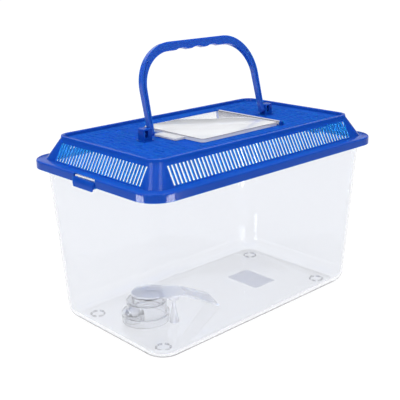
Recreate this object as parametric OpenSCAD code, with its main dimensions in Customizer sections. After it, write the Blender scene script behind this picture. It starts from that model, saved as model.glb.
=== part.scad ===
// Plastic pet keeper: a clear tank under a louvred carrying lid, with a feeding door,
// a folding handle, and a small basking island that stands loose on the tank floor.
// Millimetres. X runs along the length, Y across the width, Z up. The origin is on the
// table, under the middle of the tank.

/* [Tank] */
// Length of the tank at its rim, outside the wall
tank_len = 286; // [250:1:330]
// Width of the tank at its rim, outside the wall
tank_wid = 169; // [150:1:200]
// Height of the rim above the table
tank_h = 159.2; // [130:0.1:200]
// How far each wall leans in from the rim to the base
tank_draft = 8; // [3:0.5:12]
// Thickness of the tank walls
tank_wall = 1.8; // [1.2:0.1:2.6]
// Thickness of the tank floor
floor_t = 2.2; // [1.4:0.1:4]
// Corner radius of the walls, seen from above
tank_corner_r = 24; // [18:0.5:30]
// Radius of the curve between the floor and the walls, outside
base_curve_r = 13; // [8:0.5:17]

/* [Tank rim] */
// Width of the rim flange, measured from the wall
flange_w = 4.4; // [3.6:0.1:6]
// Thickness of the rim flange
flange_t = 2.2; // [1.4:0.1:3]
// Height of the flange's turned-down lip
lip_h = 4; // [3:0.1:5]
// Thickness of the turned-down lip
lip_t = 1.2; // [0.8:0.1:1.6]
// Corner radius of the flange, seen from above
flange_corner_r = 20.4; // [17:0.2:24]

/* [Feet and label] */
// Outer diameter of each ring foot
foot_d = 15; // [10:0.5:20]
// Height of the ring feet
foot_h = 1; // [0.7:0.1:2]
// Width of the foot's ring
foot_ring_w = 1.8; // [1.2:0.1:3]
// Distance of a foot's centre from the end of the base
foot_in_x = 26; // [22:0.5:40]
// Distance of a foot's centre from the side of the base
foot_in_y = 27.5; // [22:0.5:36]
// Length of the plain label under the floor
label_len = 30; // [16:1:50]
// Width of the plain label under the floor
label_wid = 42; // [20:1:60]
// Thickness of the label
label_t = 0.3; // [0.1:0.05:0.5]
// Distance of the label's centre from the middle of the tank
label_x = 58.5; // [40:0.5:70]

/* [Lid] */
// Thickness of the lid
lid_wall = 2; // [1.4:0.1:2.4]
// Gap between the tank's flange and the lid's skirt
lid_gap = 0.6; // [0.4:0.1:1]
// How far the skirt hangs below the rim
skirt_drop = 5.7; // [5.5:0.1:12]
// Width of the flat shoulder outside the louvres
shoulder_w = 9.4; // [7:0.1:14]
// Rounding of the shoulder's outer edge
shoulder_r = 1.5; // [0.5:0.1:1.8]
// Height of the sloping louvred faces
louvre_h = 18.8; // [14:0.1:26]
// How far the louvred faces lean in
louvre_lean = 10.2; // [7:0.1:13]
// Thickness of the louvred faces
louvre_wall = 1.5; // [1.2:0.1:2]
// Corner radius of the louvred faces at their foot
louvre_foot_r = 14; // [11:0.5:18]
// Corner radius of the louvred faces at their top
louvre_top_r = 13.5; // [11:0.5:16]
// Width of the ledge between the louvres and the ridge
ledge_w = 1.7; // [1:0.1:4]
// How far the ledge rises from the louvres to the ridge
ledge_rise = 0.3; // [0.1:0.1:1]
// Height of the ridge round the top panel
ridge_h = 3; // [2:0.1:4]
// Width of the ridge
ridge_w = 3; // [2:0.1:5]
// Corner radius of the ridge, seen from above
ridge_r = 10.5; // [8.5:0.1:12]
// Bevel along the ridge's outer top edge
ridge_bevel = 0.5; // [0.2:0.1:1]

/* [Louvre slots] */
// Distance from one slot to the next
slot_pitch = 4.22; // [4.2:0.01:6]
// Width of a slot
slot_w = 2.8; // [1.4:0.1:3]
// Height of solid face below the slots
slot_foot = 0.9; // [0.3:0.1:3]
// Height of solid face above the slots
slot_head = 2.6; // [2.2:0.1:4]
// How far each row of slots runs past the straight part of its face
slot_end = 1; // [0:0.1:3.5]
// How far the rows on the long faces sit off centre
long_row_shift = -1.5; // [-2:0.1:2]
// How far the rows on the short faces sit off centre
short_row_shift = -3; // [-3:0.1:3]

/* [Latches] */
// Width of the latch window and tab on each end
latch_w = 31; // [20:0.5:44]
// How far down from the shoulder's top the window ends
latch_window_h = 3.2; // [2.4:0.1:4]
// How far the window reaches in under the shoulder
latch_window_in = 5; // [3:0.1:6]
// Thickness of shoulder left over the window
latch_roof = 0.6; // [0.5:0.1:1]
// How far the tab hangs below the skirt
latch_drop = 3.4; // [2:0.1:6]
// How far the tab flares out from the skirt
latch_flare = 2.4; // [1.2:0.1:4]
// Thickness of the tab
latch_t = 1.6; // [1:0.1:2]
// How far the tab's inner bead stands in from the skirt
latch_bead = 0.3; // [0.1:0.05:0.3]

/* [Feeding door] */
// Length of the door
door_len = 102; // [80:1:112]
// Width of the door
door_wid = 84; // [60:1:100]
// Height of the door
door_h = 3.5; // [3.2:0.1:5]
// Thickness of the door
door_wall = 1.6; // [1:0.1:2]
// Corner radius of the door, seen from above
door_corner_r = 4.5; // [3:0.1:8]
// Distance of the door's middle from the tank's middle, along the length
door_x = -1; // [-3:0.5:1]
// Distance of the door's middle from the tank's middle, across the width
door_y = -3; // [-6:0.5:4]
// How far the door laps over the edge of the opening
door_lap = 2.5; // [2:0.1:6]
// Length of the finger tab
tab_len = 12; // [6:0.5:12]
// Width of the finger tab
tab_wid = 30; // [16:0.5:40]
// Thickness of the finger tab
tab_t = 1.8; // [1.2:0.1:2.6]
// Distance of the tab's middle from the door's middle, towards the near side
tab_offset = 4; // [0:0.5:10]
// Gap under the finger tab
tab_lift = 0.4; // [0.2:0.1:1]

/* [Door hinge] */
// Diameter of the door's hinge barrel
barrel_d = 4; // [3.4:0.1:4.2]
// Diameter of the pins at the barrel's ends
door_pin_d = 2.4; // [1.8:0.1:2.6]
// Height of the hinge axis above the panel
hinge_z = 2.2; // [2.15:0.05:2.6]
// Thickness of each hinge ear
ear_t = 3; // [2:0.1:5]
// Width of each hinge ear
ear_w = 5; // [4.4:0.1:7]
// Gap between the door and each hinge ear
ear_gap = 0.3; // [0.2:0.05:0.8]
// Thickness of the wall that closes each ear's bore
ear_cap = 0.8; // [0.5:0.1:1.2]
// Room left past the end of each pin
ear_room = 0.2; // [0.1:0.05:0.4]

/* [Handle] */
// Width of the handle over its legs
handle_w = 152; // [140:1:168]
// Reach of the handle from its pivot to the top of the grip
handle_reach = 79; // [70:0.5:100]
// Thickness of the handle, front to back
handle_t = 5; // [4:0.1:6]
// Depth of the grip
grip_d = 8.5; // [7:0.1:11]
// Outer radius of the handle's corners
handle_corner_r = 41; // [30:0.5:50]
// Width of each leg at its top
leg_top_w = 5.4; // [4:0.1:8]
// Width of each leg at the pivot
leg_foot_w = 4.2; // [3.6:0.1:6]
// Spacing of the finger hollows under the grip
finger_pitch = 20; // [18:0.5:22]
// Radius of each finger hollow
finger_r = 19.7; // [15:0.1:24]
// Depth of each finger hollow
finger_depth = 1.5; // [0.8:0.1:2]
// Angle at which the raised handle leans back
handle_lean = 14; // [0:1:25]

/* [Handle pivots] */
// Height of the pivot above the panel
pivot_z = 6; // [5.8:0.1:7]
// Diameter of the pins on the handle's feet
pivot_d = 4.4; // [3.4:0.1:4.8]
// Running clearance round every pin, on the radius
pin_gap = 0.05; // [0.02:0.01:0.1]
// Diameter of the rounded end of each leg
leg_end_d = 5.8; // [5.2:0.1:7]
// Gap between each leg and its lug
lug_gap = 0.2; // [0.1:0.05:0.4]
// Thickness of each lug, along the pivot
lug_t = 9.6; // [8:0.1:11]
// Width of each lug, across the pivot
lug_w = 9; // [8:0.1:12]
// Height of each lug above the panel
lug_h = 11.5; // [10.6:0.1:14]
// How far each lug's foot spreads, and its height
lug_foot = 1; // [0.5:0.1:1.5]
// Depth of the hollow in each side of a lug
lug_hollow = 2.8; // [1:0.1:3]
// Thickness left on each side of the hollow
lug_side = 1.1; // [0.8:0.1:1.5]
// Thickness of the wall that closes each lug's bore
lug_cap = 1; // [0.8:0.1:1.5]
// Height of solid lug below the hollow
lug_sill = 3.5; // [2:0.1:5]
// Height of solid lug above the hollow
lug_roof = 1.5; // [1:0.1:2.5]
// Room left past the end of each pin
pin_room = 0.2; // [0.1:0.05:0.4]

/* [Island] */
// Height of the island's deck above the tank floor
island_h = 28.8; // [25:0.2:36]
// Thickness of the island's mouldings
island_wall = 1.6; // [1.2:0.1:2.2]
// Distance of the mound's lowest step from the tank's end, along the length
mound_in = 59; // [55:0.5:65]
// Distance of the mound's lowest step from the tank's middle, across the width
mound_y = 5; // [0:0.5:10]
// Radius of the mound's lowest step
mound_r = 23; // [21:0.5:26]
// How much smaller each step is than the one below, on the radius
step_in = 3.75; // [3:0.25:4.5]
// How far each step sits towards the post from the one below
step_shift = 1.4; // [0:0.1:2]
// Height of the mound's lowest step
low_step_h = 8; // [6:0.5:10]
// Height of the mound's middle step
mid_step_h = 12.5; // [9:0.5:14]
// Radius of the round rock on the mound's left side
rock_r = 8; // [6:0.5:9]
// Height of the middle of the rock's round top above the tank floor
rock_h = 7; // [5:0.5:9]
// How far the rock's left side sits in from the mound's left side
rock_in = 3; // [1:0.5:5]
// Distance of the rock's middle from the mound's middle, towards the back
rock_back = 4; // [0:0.5:6]
// Gap between the mound and the post
post_gap = 0.9; // [0.5:0.1:3]
// Direction from the mound to the post, down from the length
post_turn = 59; // [50:1:66]
// Diameter of the post in its slim part
post_d = 4.4; // [3.6:0.1:6]
// Diameter of the post's foot and of its cap
post_foot_d = 10.5; // [8:0.1:12]
// Height of the post's flared foot
post_flare_h = 16; // [8:0.5:18]
// Height of the post's cap
post_cap_h = 3; // [2:0.1:5]
// How far the deck laps past the post's cap
deck_lap = 0.6; // [0.4:0.1:2]
// Thickness of the deck and the ramp
ramp_t = 2; // [1.6:0.1:2.6]
// Length of the ramp, seen from above
ramp_run = 47; // [36:0.5:56]
// Width of the ramp where it leaves the deck
ramp_top_w = 18; // [14:0.5:22]
// Width of the ramp at its tip
ramp_tip_w = 25; // [20:0.5:32]
// How far the ramp's far edge reaches past its near edge
ramp_skew = 9; // [0:0.5:12]
// How far the ramp's far edge stays above the floor at the tip
ramp_twist = 1.5; // [0:0.5:8]
// Distance between the treads of the ramp
tread_pitch = 4.4; // [3.6:0.1:7]
// Height of a tread
tread_h = 0.8; // [0.4:0.1:1.2]

/* [Hidden] */
$fn = 48;
round_n = 96;       // straight pieces in the handle's large circles
deck_n = 32;        // straight pieces round the deck's ends
arc_n = 8;          // straight pieces in a quarter turn of a faceted corner
fan_n = 6;          // rings in the curve at the foot of the tank
eps = 1;            // how far a cutter runs past the face it opens
sink = 0.5;         // how far a moulded-on feature is rooted in its wall
tank_col = [0.90, 0.93, 0.97, 0.35];
blue = [0.11, 0.33, 0.76];
label_col = [0.78, 0.78, 0.82];

// tank
base_z = foot_h;
floor_z = base_z + floor_t;
rim_z = tank_h;
flange_z = rim_z - flange_t;
flange_len = tank_len + 2*flange_w;
flange_wid = tank_wid + 2*flange_w;
inner_curve_r = base_curve_r - floor_t;

// lid, from the skirt up
lid_len = flange_len + 2*(lid_gap + lid_wall);
lid_wid = flange_wid + 2*(lid_gap + lid_wall);
skirt_corner_r = flange_corner_r + lid_gap + lid_wall;
skirt_z = rim_z - skirt_drop;
shoulder_z = rim_z + lid_wall;
panel_z = shoulder_z + louvre_h;
ridge_z = panel_z + ridge_h;
ridge_in = shoulder_w + louvre_lean + ledge_w;
slope = louvre_lean/louvre_h;
face_gap = louvre_wall*sqrt(1 + slope*slope);
recess_in = ridge_in + ridge_w;
recess_r = ridge_r - ridge_w;

// feeding door and its hinge
door_left = door_x - door_len/2;
door_right = door_x + door_len/2;
hole_len = door_len - 2*door_lap;
hole_wid = door_wid - 2*door_lap;
hole_r = door_corner_r - door_lap/2;
hinge_x = door_right + barrel_d/2 - sink;
axis_z = panel_z + hinge_z;
ear_bore_d = door_pin_d + 2*pin_gap;

// handle and its lugs
pivot_height = panel_z + pivot_z;
lug_in = handle_w/2 + lug_gap;
pin_len = lug_gap + lug_t - lug_cap - pin_room;
lug_bore_d = pivot_d + 2*pin_gap;
arc_x = handle_w/2 - handle_corner_r;
arc_s = handle_reach - handle_corner_r;
inner_r = handle_corner_r - (grip_d + leg_top_w)/2;
inner_x = handle_w/2 - leg_top_w - inner_r;
inner_s = handle_reach - grip_d - inner_r;
hollow_s = handle_reach - grip_d + finger_depth - finger_r;

// island
deck_z = floor_z + island_h;
deck_under = deck_z - ramp_t;
mound_x = mound_in - tank_len/2;
step_dir = [cos(post_turn), -sin(post_turn)];
step_tops = [floor_z + low_step_h, floor_z + low_step_h + mid_step_h, deck_under];
top_r = mound_r - 2*step_in;
top_x = mound_x + 2*step_shift*step_dir[0];
top_y = mound_y + 2*step_shift*step_dir[1];
post_reach = mound_r + post_gap + post_foot_d/2;
post_x = mound_x + post_reach*step_dir[0];
post_y = mound_y + post_reach*step_dir[1];
ramp_x = post_x + post_foot_d/2 + deck_lap;
ramp_near = post_y - post_foot_d/2 - deck_lap;

// One ring of points: a rectangle l by w with corner radius r, at height z.
function ring(l, w, r, z) =
    [for (k = [0:3], i = [0:arc_n])
        let (a = 90*k + 90*i/arc_n,
             sx = (k == 0 || k == 3) ? 1 : -1,
             sy = (k < 2) ? 1 : -1)
        [sx*(l/2 - r) + r*cos(a), sy*(w/2 - r) + r*sin(a), z]];

// A closed solid through a stack of rings, listed from the bottom up.
module skin(rings) {
    m = len(rings[0]);
    n = len(rings);
    polyhedron(
        points = [for (q = rings) each q],
        faces = concat(
            [[for (i = [0:m-1]) i]],
            [for (j = [0:n-2], i = [0:m-1])
                let (a = j*m + i, b = j*m + (i + 1)%m)
                each [[a, a + m, b], [b, a + m, b + m]]],
            [[for (i = [m-1:-1:0]) (n-1)*m + i]]));
}

// A flat plate with exact round corners.
module plate(l, w, r, h) {
    translate([-l/2, -w/2 + r, 0]) cube([l, w - 2*r, h]);
    translate([-l/2 + r, -w/2, 0]) cube([l - 2*r, w, h]);
    for (sx = [-1, 1], sy = [-1, 1])
        translate([sx*(l/2 - r), sy*(w/2 - r), 0]) cylinder(h = h, r = r);
}

// ---- Tank ----

// Half of the draft's closing-in at height z.
function draft_at(z) = tank_draft*(rim_z - z)/(rim_z - base_z);

// A ring on the tank's wall at height z, brought in by t.
function wall_ring(z, t, r) =
    ring(tank_len - 2*(draft_at(z) + t), tank_wid - 2*(draft_at(z) + t), r, z);

// The curve from the floor to the wall: rings from height z0 up, radius r, inside offset t.
function foot_rings(z0, r, t) =
    [for (i = [0:fan_n-1])
        let (a = 90*i/fan_n, inset = r*(1 - sin(a)))
        wall_ring(z0 + r*(1 - cos(a)), t + inset, tank_corner_r - t - inset)];

module rim_rings_solid() {
    skin(concat(
        foot_rings(base_z, base_curve_r, 0),
        [wall_ring(base_z + base_curve_r, 0, tank_corner_r),
         wall_ring(flange_z, 0, tank_corner_r),
         ring(flange_len - 2*lip_t, flange_wid - 2*lip_t, flange_corner_r - lip_t, flange_z),
         ring(flange_len - 2*lip_t, flange_wid - 2*lip_t, flange_corner_r - lip_t, rim_z - lip_h),
         ring(flange_len, flange_wid, flange_corner_r, rim_z - lip_h),
         ring(flange_len, flange_wid, flange_corner_r, rim_z)]));
}

module tank_hollow() {
    skin(concat(
        foot_rings(floor_z, inner_curve_r, tank_wall),
        [wall_ring(floor_z + inner_curve_r, tank_wall, tank_corner_r - tank_wall),
         wall_ring(rim_z + eps, tank_wall, tank_corner_r - tank_wall)]));
}

module ring_feet() {
    foot_x = tank_len/2 - tank_draft - foot_in_x;
    foot_y = tank_wid/2 - tank_draft - foot_in_y;
    for (sx = [-1, 1], sy = [-1, 1])
        translate([sx*foot_x, sy*foot_y, 0])
            difference() {
                cylinder(h = foot_h + sink, d = foot_d);
                translate([0, 0, -eps]) cylinder(h = foot_h + eps, d = foot_d - 2*foot_ring_w);
            }
}

module tank() {
    color(tank_col) {
        difference() {
            rim_rings_solid();
            tank_hollow();
        }
        ring_feet();
    }
}

module base_label() {
    color(label_col)
        translate([label_x - label_len/2, -label_wid/2, base_z - label_t])
            cube([label_len, label_wid, label_t]);
}

// ---- Lid ----

function lid_ring(inset, r, z) = ring(lid_len - 2*inset, lid_wid - 2*inset, r, z);

module lid_outside() {
    edge = shoulder_r*(1 - sqrt(0.5));
    skin([
        lid_ring(0, skirt_corner_r, skirt_z),
        lid_ring(0, skirt_corner_r, shoulder_z - shoulder_r),
        lid_ring(edge, skirt_corner_r - edge, shoulder_z - edge),
        lid_ring(shoulder_r, skirt_corner_r - shoulder_r, shoulder_z),
        lid_ring(shoulder_w, louvre_foot_r, shoulder_z),
        lid_ring(shoulder_w + louvre_lean, louvre_top_r, panel_z),
        lid_ring(ridge_in, ridge_r, panel_z + ledge_rise),
        lid_ring(ridge_in, ridge_r, ridge_z - ridge_bevel),
        lid_ring(ridge_in + ridge_bevel, ridge_r - ridge_bevel, ridge_z)]);
}

module lid_inside() {
    foot_in = shoulder_w - slope*lid_wall + face_gap;
    top_in = shoulder_w + louvre_lean - slope*lid_wall + face_gap;
    skin([
        lid_ring(lid_wall, skirt_corner_r - lid_wall, skirt_z - eps),
        lid_ring(lid_wall, skirt_corner_r - lid_wall, rim_z),
        lid_ring(foot_in, louvre_foot_r - lid_wall/2, rim_z),
        lid_ring(top_in, louvre_top_r - lid_wall/2, panel_z - lid_wall)]);
}

// The through-cut of one slot, drawn in the plane across a face. half is the lid's half width.
module slot_outline(half) {
    lo = shoulder_z + slot_foot;
    hi = panel_z - slot_head;
    at_lo = half - shoulder_w - slope*(lo - shoulder_z);
    at_hi = half - shoulder_w - slope*(hi - shoulder_z);
    reach = 2*lid_wall;
    polygon([[at_lo + reach, lo], [at_hi + reach, hi], [at_hi - reach, hi], [at_lo - reach, lo]]);
}

// A row of slots on two opposite faces. run is the length from the first slot to the last, and
// shift moves both rows the same way along their faces.
module slot_row(half, run, shift) {
    n = floor(run/slot_pitch) + 1;
    for (side = [0, 180], i = [0:n-1])
        rotate([0, 0, side])
            translate([(i - (n - 1)/2)*slot_pitch + (side == 0 ? shift : -shift), 0, 0])
                rotate([90, 0, 90])
                    linear_extrude(slot_w, center = true) slot_outline(half);
}

module slots() {
    top_in = shoulder_w + louvre_lean;
    bend = top_in + louvre_top_r - slot_end;
    slot_row(lid_wid/2, lid_len - 2*bend, long_row_shift);
    rotate([0, 0, 90]) slot_row(lid_len/2, lid_wid - 2*bend, short_row_shift);
}

// The window above each latch, cut through the skirt and in under the shoulder.
module latch_windows() {
    for (side = [0, 180])
        rotate([0, 0, side])
            translate([lid_len/2 - latch_window_in, -latch_w/2, shoulder_z - latch_window_h])
                cube([latch_window_in + eps, latch_w, latch_window_h - latch_roof]);
}

// The flared tab of each latch, with the small bead inside that snaps under the tank's lip.
module latch_tabs() {
    face = lid_len/2;
    inner = face - lid_wall;
    top = shoulder_z - latch_window_h;
    bead_z = rim_z - lip_h - lid_gap;
    for (side = [0, 180])
        rotate([0, 0, side])
            rotate([90, 0, 0])
                linear_extrude(latch_w, center = true)
                    polygon([
                        [face - sink, top],
                        [face + sink, top],
                        [face + latch_flare, skirt_z],
                        [face + latch_flare, skirt_z - latch_drop],
                        [face + latch_flare - latch_t, skirt_z - latch_drop],
                        [face + latch_flare - latch_t, skirt_z - latch_t],
                        [inner, skirt_z - latch_t],
                        [inner - latch_bead, bead_z - lid_wall],
                        [inner - latch_bead, bead_z - lid_wall/2],
                        [inner + sink, bead_z]]);
}

module lug() {
    difference() {
        union() {
            translate([0, -lug_w/2, -sink]) cube([lug_t, lug_w, lug_h + sink]);
            translate([-lug_foot, -lug_w/2 - lug_foot, -sink])
                cube([lug_t + 2*lug_foot, lug_w + 2*lug_foot, lug_foot + sink]);
        }
        for (sy = [-1, 1])
            translate([sy < 0 ? lug_side : lug_t/2, sy*lug_w/2 - lug_hollow, lug_sill])
                cube([lug_t/2 - lug_side, 2*lug_hollow, lug_h - lug_sill - lug_roof]);
        translate([-eps, 0, pivot_z])
            rotate([0, 90, 0]) cylinder(h = lug_t - lug_cap + eps, d = lug_bore_d);
    }
}

module lugs() {
    for (side = [0, 180])
        rotate([0, 0, side])
            translate([lug_in, 0, panel_z]) lug();
}

module hinge_ears() {
    for (sy = [-1, 1])
        translate([hinge_x, door_y + sy*(door_wid/2 + ear_gap + ear_t/2), axis_z])
            rotate([90, 0, 0])
                difference() {
                    union() {
                        cylinder(h = ear_t, d = ear_w, center = true);
                        translate([-ear_w/2, -hinge_z - sink, -ear_t/2])
                            cube([ear_w, hinge_z + sink, ear_t]);
                    }
                    translate([0, 0, sy*ear_cap])
                        cylinder(h = ear_t, d = ear_bore_d, center = true);
                }
}

module lid() {
    color(blue) {
        difference() {
            lid_outside();
            lid_inside();
            translate([0, 0, panel_z])
                plate(lid_len - 2*recess_in, lid_wid - 2*recess_in, recess_r, ridge_h + eps);
            translate([door_x, door_y, panel_z - lid_wall - eps])
                plate(hole_len, hole_wid, hole_r, lid_wall + 2*eps);
            slots();
            latch_windows();
        }
        latch_tabs();
        lugs();
        hinge_ears();
    }
}

// ---- Feeding door ----

module feeding_door() {
    color(tank_col) {
        translate([door_x, door_y, panel_z])
            difference() {
                plate(door_len, door_wid, door_corner_r, door_h);
                translate([0, 0, -eps])
                    plate(door_len - 2*door_wall, door_wid - 2*door_wall,
                          door_corner_r - door_wall, door_h - door_wall + eps);
            }
        translate([door_left - tab_len, door_y - tab_offset - tab_wid/2, panel_z + tab_lift])
            cube([tab_len + door_wall/2, tab_wid, tab_t]);
        translate([hinge_x, door_y, axis_z])
            rotate([90, 0, 0]) {
                cylinder(h = door_wid - 2*ear_gap, d = barrel_d, center = true);
                cylinder(h = door_wid + 2*(ear_gap + ear_t - ear_cap - ear_room), d = door_pin_d,
                         center = true);
            }
    }
}

// ---- Handle ----

module handle_outline() {
    low = min(0, arc_s - handle_corner_r) - eps;
    leg_in = handle_w/2 - leg_foot_w;
    difference() {
        union() {
            translate([-handle_w/2, 0]) square([handle_w, arc_s]);
            translate([-arc_x, arc_s]) square([2*arc_x, handle_corner_r]);
            for (sx = [-1, 1]) translate([sx*arc_x, arc_s]) circle(r = handle_corner_r, $fn = round_n);
        }
        polygon([
            [-(inner_x + inner_r), inner_s], [inner_x + inner_r, inner_s],
            [leg_in, 0], [leg_in, low], [-leg_in, low], [-leg_in, 0]]);
        translate([-inner_x, inner_s - eps]) square([2*inner_x, inner_r + eps]);
        for (sx = [-1, 1]) translate([sx*inner_x, inner_s]) circle(r = inner_r, $fn = round_n);
        for (k = [-1:1]) translate([k*finger_pitch, hollow_s]) circle(r = finger_r, $fn = round_n);
    }
}

module handle_foot() {
    rotate([0, 90, 0]) {
        translate([0, 0, handle_w/2 - leg_foot_w]) cylinder(h = leg_foot_w, d = leg_end_d);
        translate([0, 0, handle_w/2 - sink]) cylinder(h = sink + pin_len, d = pivot_d);
    }
}

module handle() {
    color(blue)
        translate([0, 0, pivot_height])
            rotate([-handle_lean, 0, 0]) {
                rotate([90, 0, 0]) linear_extrude(handle_t, center = true) handle_outline();
                handle_foot();
                rotate([0, 0, 180]) handle_foot();
            }
}

// ---- Island ----

// The mound's steps, each drawn in by t, with its top lowered by t, down to height z0.
module mound_steps(t, z0) {
    for (k = [0:2])
        translate([mound_x + k*step_shift*step_dir[0], mound_y + k*step_shift*step_dir[1], z0])
            cylinder(h = step_tops[k] - t - z0, r = mound_r - k*step_in - t);
}

// The round rock that bulges from the mound's lower steps.
module rock(t, z0) {
    low = floor_z + rock_h;
    translate([mound_x - mound_r + rock_r + rock_in, mound_y + rock_back, 0]) {
        translate([0, 0, z0]) cylinder(h = low - z0, r = rock_r - t);
        translate([0, 0, low]) sphere(r = rock_r - t);
    }
}

module island_base() {
    color(tank_col)
        difference() {
            union() {
                mound_steps(0, floor_z);
                rock(0, floor_z);
            }
            mound_steps(island_wall, floor_z - eps);
            rock(island_wall, floor_z - eps);
        }
}

// The post: a flared foot, a slim neck and a round cap under the deck.
module post() {
    translate([post_x, post_y, floor_z]) {
        cylinder(h = post_flare_h, d1 = post_foot_d, d2 = post_d);
        cylinder(h = island_h - ramp_t + sink, d = post_d);
        translate([0, 0, island_h - ramp_t - post_cap_h]) cylinder(h = post_cap_h + sink, d = post_foot_d);
    }
}

module deck() {
    translate([0, 0, deck_under])
        linear_extrude(ramp_t)
            hull() {
                translate([top_x, top_y]) circle(r = top_r, $fn = deck_n);
                translate([post_x, post_y]) circle(r = post_foot_d/2 + deck_lap, $fn = deck_n);
                polygon([
                    [ramp_x, ramp_near], [ramp_x + ramp_skew, ramp_near + ramp_top_w],
                    [ramp_x - eps, ramp_near]]);
            }
}

// A cross-section of the ramp: near and far edge, each as [x, y, height of the underside].
function ramp_section(near, far, rise) =
    [near, far, far + [0, 0, ramp_t + rise], near + [0, 0, ramp_t + rise]];

// The ramp runs down from the deck in one slab, rooted inside it. Its top is saw-toothed into
// treads, and its far edge hangs a little higher than its near edge towards the tip.
module ramp() {
    n = 2*floor(ramp_run/tread_pitch);
    drop = island_h - ramp_t;
    far_x = ramp_x + ramp_skew;
    far_y = ramp_near + ramp_top_w;
    flare = ramp_tip_w - ramp_top_w;
    root = [-eps, sink, sink];
    skin(concat(
        [ramp_section([ramp_x, ramp_near, deck_under] + root, [far_x, far_y, deck_under] + [-eps, -eps, sink],
                      -2*sink)],
        [for (i = [0:n])
            let (u = i/n)
            ramp_section([ramp_x + ramp_run*u, ramp_near, deck_under - drop*u],
                         [far_x + ramp_run*u, far_y + flare*u, deck_under - (drop - ramp_twist)*u],
                         (i%2 == 1) ? tread_h : 0)]));
}

module island_ramp() {
    color(tank_col) {
        deck();
        ramp();
        post();
    }
}

tank();
base_label();
lid();
feeding_door();
handle();
island_base();
island_ramp();
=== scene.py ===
# %% [markdown]
# # A clear pet keeper with a louvred lid
# This lesson dresses a plastic pet keeper: a clear tank, a blue lid with louvres, a small clear
# feeding door, a folding handle and a basking island. The solid model is loaded first. It gives
# every size and every joint, and each piece below is a finer copy of one of its parts, with the
# small round edges that make moulded plastic look moulded.

# %% Load the solid model
import math
import bmesh
import bpy
from mathutils import Matrix, Vector


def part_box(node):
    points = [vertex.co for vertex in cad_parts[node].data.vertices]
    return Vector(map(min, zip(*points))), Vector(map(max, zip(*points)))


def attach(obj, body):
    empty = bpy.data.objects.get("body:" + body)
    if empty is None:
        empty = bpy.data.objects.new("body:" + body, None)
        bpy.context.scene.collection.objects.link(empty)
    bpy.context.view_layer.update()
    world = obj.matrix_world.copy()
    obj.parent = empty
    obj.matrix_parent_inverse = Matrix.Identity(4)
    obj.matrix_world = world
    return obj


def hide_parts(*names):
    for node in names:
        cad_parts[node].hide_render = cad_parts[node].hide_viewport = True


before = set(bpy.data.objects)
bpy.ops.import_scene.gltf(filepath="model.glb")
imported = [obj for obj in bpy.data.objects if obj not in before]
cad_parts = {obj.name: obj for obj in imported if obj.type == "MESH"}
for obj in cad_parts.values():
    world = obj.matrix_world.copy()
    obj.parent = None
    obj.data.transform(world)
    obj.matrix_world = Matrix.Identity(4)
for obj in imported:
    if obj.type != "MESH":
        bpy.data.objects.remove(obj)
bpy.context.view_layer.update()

scene = bpy.context.scene
mm = 0.001

# %% [markdown]
# ## The camera
# The camera comes first, so that every later test picture is taken from the same place. It looks
# down a little at one corner of the tank. The place where it stands is worked out from the point
# it looks at, the turn round the object, the height of the view and the distance. The last small
# turn is the roll, which tips the picture by a degree.

# %% Make the camera
view_turn = math.radians(-43.1)
view_height = math.radians(17.61)
view_roll = math.radians(-0.99)
look_at = Vector((4.7, 20.7, 99.6)) * mm
view_distance = 795.6 * mm

towards_camera = Vector((math.sin(view_turn) * math.cos(view_height),
                         -math.cos(view_turn) * math.cos(view_height),
                         math.sin(view_height)))
level_right = (-towards_camera).cross(Vector((0, 0, 1))).normalized()
level_up = level_right.cross(-towards_camera)
right = level_right * math.cos(view_roll) + level_up * math.sin(view_roll)
up = level_up * math.cos(view_roll) - level_right * math.sin(view_roll)

camera_data = bpy.data.cameras.new("camera")
camera_data.sensor_width = 36
camera_data.lens = 69.91
camera_data.clip_start, camera_data.clip_end = 0.02, 50
camera = bpy.data.objects.new("camera", camera_data)
scene.collection.objects.link(camera)
camera.matrix_world = Matrix((
    (right.x, up.x, towards_camera.x, look_at.x + towards_camera.x * view_distance),
    (right.y, up.y, towards_camera.y, look_at.y + towards_camera.y * view_distance),
    (right.z, up.z, towards_camera.z, look_at.z + towards_camera.z * view_distance),
    (0, 0, 0, 1)))
scene.camera = camera
print("camera stands at", [round(v / mm) for v in camera.matrix_world.translation], "mm")

# %% [markdown]
# ## Floor and light
# A clear box is only seen by what it reflects and bends, so it is set on a lit white table, as a
# studio would do. The table glows softly and takes only a little light from above, so the lid
# throws no hard shadow on it.

# %% Make the floor
def new_material(name):
    """A new material, its node tree and its Principled shader."""
    material = bpy.data.materials.new(name)
    material.use_nodes = True
    shader = material.node_tree.nodes["Principled BSDF"]
    return material, material.node_tree, shader


def add_node(tree, kind, **values):
    """Add a node and set its inputs by name, with a low line for each space."""
    node = tree.nodes.new(kind)
    for name, value in values.items():
        node.inputs[name.replace("_", " ")].default_value = value
    return node


floor_half, floor_drop = 8.0, 0.2 * mm
floor_mesh = bpy.data.meshes.new("floor")
floor_mesh.from_pydata([(x * floor_half, y * floor_half, 0) for x, y in
                        ((-1, -1), (1, -1), (1, 1), (-1, 1))], [], [(0, 1, 2, 3)])
floor = bpy.data.objects.new("floor", floor_mesh)
floor.location.z = -floor_drop
scene.collection.objects.link(floor)

floor_material, tree, shader = new_material("lit white table")
shader.inputs["Base Color"].default_value = (0.07, 0.07, 0.072, 1)
shader.inputs["Roughness"].default_value = 0.9
shader.inputs["Specular IOR Level"].default_value = 0.1
shader.inputs["Emission Color"].default_value = (1.0, 1.0, 1.0, 1)
shader.inputs["Emission Strength"].default_value = 0.985
floor_mesh.materials.append(floor_material)
print("the table is", 2 * floor_half, "m wide")

# %% [markdown]
# One wide soft box hangs overhead for the lid's top, and two strips shine on its near corner from
# high on the left and the right, so that round edges carry soft highlights. Three more lights only
# show in gloss. A backdrop far behind is mirrored by the door, and two low cards by the near corner
# of the lid, where they leave crisp bright patches.

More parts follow.
